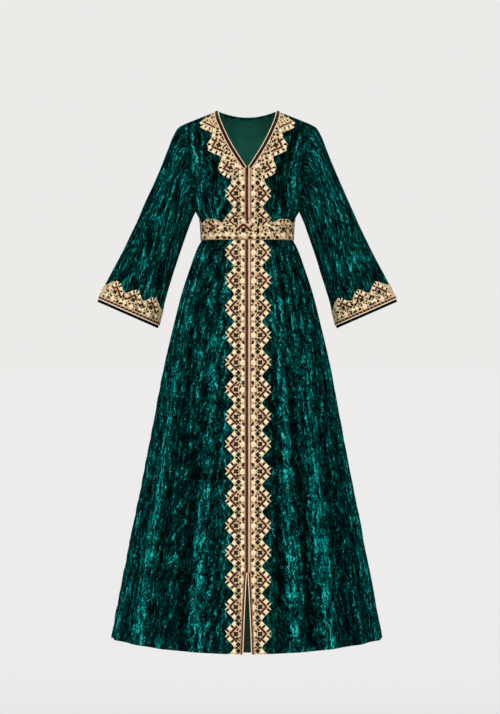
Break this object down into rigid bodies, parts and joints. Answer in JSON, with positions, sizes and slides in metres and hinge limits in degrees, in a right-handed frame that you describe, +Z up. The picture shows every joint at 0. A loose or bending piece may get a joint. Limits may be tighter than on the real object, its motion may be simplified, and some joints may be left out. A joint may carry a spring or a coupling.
{
  "type": "moroccan kaftan, filled out as if worn",
  "caption": "Floor-length velvet kaftan, held in its worn shape, with V neck, flared sleeves, gathered skirt, front slit and scalloped embroidered bands.",
  "frame": {"origin": "middle of the shoulder line, where the wearer's shoulders hold the garment, level with the high points of the neck", "axes": "+Z up, the front faces -Y, +X to the right of someone who looks at the front"},
  "size_m": [0.8348, 0.548, 1.52],
  "materials": {
    "velvet": "crushed velvet, deep emerald green with a teal sheen",
    "embroidered_band": "cream satin-stitch embroidery with burgundy and dark green motifs"
  },
  "bodies": {
    "root": {"bodice_front_left": "velvet", "bodice_front_right": "velvet", "bodice_back": "velvet", "sleeve_left": "velvet", "sleeve_right": "velvet", "skirt_front_left": "velvet", "skirt_front_right": "velvet", "skirt_back": "velvet", "waistband": "embroidered_band", "neck_trim_left": "embroidered_band", "neck_trim_right": "embroidered_band", "front_trim_left": "embroidered_band", "front_trim_right": "embroidered_band", "cuff_trim_left": "embroidered_band", "cuff_trim_right": "embroidered_band"}
  },
  "joints": []
}
